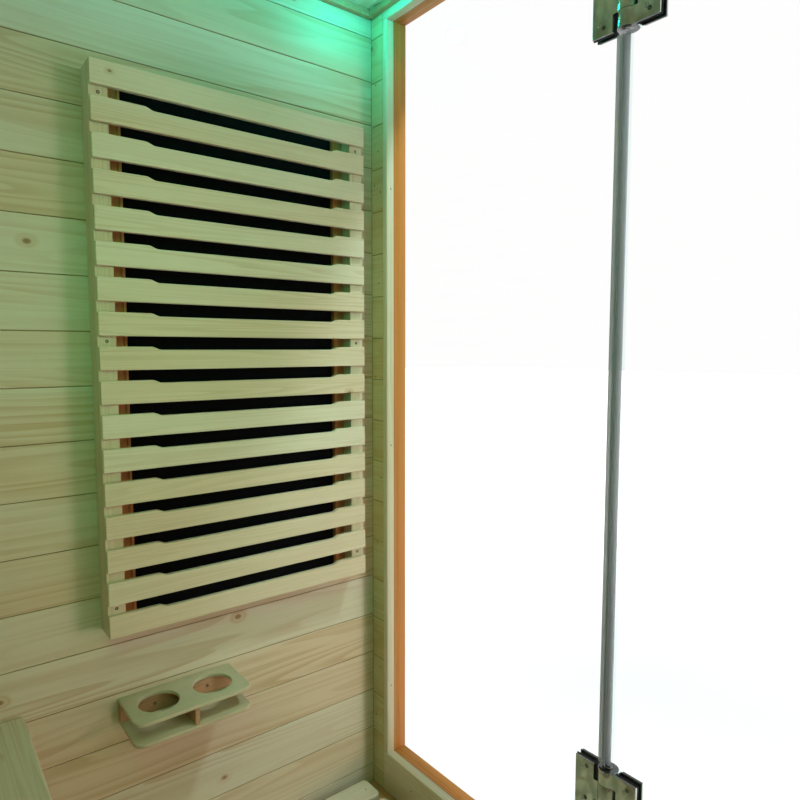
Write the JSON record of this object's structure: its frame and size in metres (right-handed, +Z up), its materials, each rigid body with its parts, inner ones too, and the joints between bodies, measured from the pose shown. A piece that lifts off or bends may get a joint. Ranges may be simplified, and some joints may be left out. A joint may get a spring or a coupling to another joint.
{
  "type": "infrared sauna cabin",
  "caption": "Pine infrared sauna cabin with a glass front and swing door, slatted heater guards, bench, drink holder, ceiling lamps, sliding roof vent and a button panel.",
  "frame": {"origin": "on the underside of the floor panel, under the middle of the shell", "axes": "+Z up, glass front faces -Y, the wall with the drink holder is on +X"},
  "size_m": [1.974, 1.3406, 2.0216],
  "materials": {
    "pine": "planed, unvarnished tongued boards",
    "pale_pine": "sanded, eased edges",
    "knotty_pine": "planed, knots left in",
    "clear_glass": "tempered, polished edges",
    "clear_seal": "clear soft plastic",
    "polished_metal": "polished",
    "gasket_rubber": "matt",
    "heater_black": "matt black",
    "black_plastic": "fine grain",
    "grey_plastic": "satin",
    "lamp_lens": "frosted, lit green"
  },
  "bodies": {
    "cabin": {"floor_panel": "knotty_pine", "floor_grating": "pale_pine", "right_wall_lining": "pine", "right_wall_panel": "knotty_pine", "left_wall_lining": "pine", "left_wall_panel": "knotty_pine", "back_wall_lining": "pine", "back_wall_panel": "knotty_pine", "front_right_post": "pine", "front_left_post": "pine", "right_jamb_board": "pale_pine", "left_jamb_board": "pale_pine", "front_sill": "pale_pine", "front_head": "pale_pine", "right_fixed_glass": "clear_glass", "left_fixed_glass": "clear_glass", "ceiling_lining": "pine", "roof_panel": "knotty_pine", "hinge_side_seal": "clear_seal", "lower_hinge_fixed_inner_plate": "polished_metal", "lower_hinge_fixed_outer_plate": "polished_metal", "lower_hinge_fixed_gasket": "gasket_rubber", "lower_hinge_pin": "polished_metal", "upper_hinge_fixed_inner_plate": "polished_metal", "upper_hinge_fixed_outer_plate": "polished_metal", "upper_hinge_fixed_gasket": "gasket_rubber", "upper_hinge_pin": "polished_metal", "right_heater_guard": "pale_pine", "left_heater_guard": "pale_pine", "back_right_heater_guard": "pale_pine", "back_left_heater_guard": "pale_pine", "right_heater_panel": "heater_black", "left_heater_panel": "heater_black", "back_right_heater_panel": "heater_black", "back_left_heater_panel": "heater_black", "bench_seat": "pale_pine", "bench_front": "pale_pine", "calf_heater_panel": "heater_black", "bench_ledger": "pine", "cup_holder_top": "knotty_pine", "cup_holder_bottom": "knotty_pine", "cup_holder_spacer": "knotty_pine", "right_ceiling_lamp": "lamp_lens", "left_ceiling_lamp": "lamp_lens", "control_panel": "black_plastic", "roof_power_box": "black_plastic"},
    "door": {"door_glass": "clear_glass", "closing_side_seal": "clear_seal", "inside_handle": "pale_pine", "outside_handle": "pale_pine", "lower_hinge_door_inner_plate": "polished_metal", "lower_hinge_door_outer_plate": "polished_metal", "lower_hinge_door_gasket": "gasket_rubber", "upper_hinge_door_inner_plate": "polished_metal", "upper_hinge_door_outer_plate": "polished_metal", "upper_hinge_door_gasket": "gasket_rubber"},
    "vent_slide": {"vent_cover": "pale_pine"},
    "minus_key": {"minus_button": "grey_plastic"},
    "power_key": {"power_button": "grey_plastic"},
    "plus_key": {"plus_button": "grey_plastic"}
  },
  "joints": [
    {"name": "door_swing", "type": "hinge", "parent": "cabin", "child": "door", "pos_m": [0.2837, -0.6249, 0.9], "axis": [0, 0, 1], "range_deg": [0, 100]},
    {"name": "vent_travel", "type": "slide", "parent": "cabin", "child": "vent_slide", "axis": [-1, 0, 0], "range_m": [0, 0.115]},
    {"name": "minus_press", "type": "slide", "parent": "cabin", "child": "minus_key", "axis": [-1, 0, 0], "range_m": [0, 0.0015], "stiffness_N_per_m": 400},
    {"name": "power_press", "type": "slide", "parent": "cabin", "child": "power_key", "axis": [-1, 0, 0], "range_m": [0, 0.0015], "stiffness_N_per_m": 400},
    {"name": "plus_press", "type": "slide", "parent": "cabin", "child": "plus_key", "axis": [-1, 0, 0], "range_m": [0, 0.0015], "stiffness_N_per_m": 400}
  ]
}
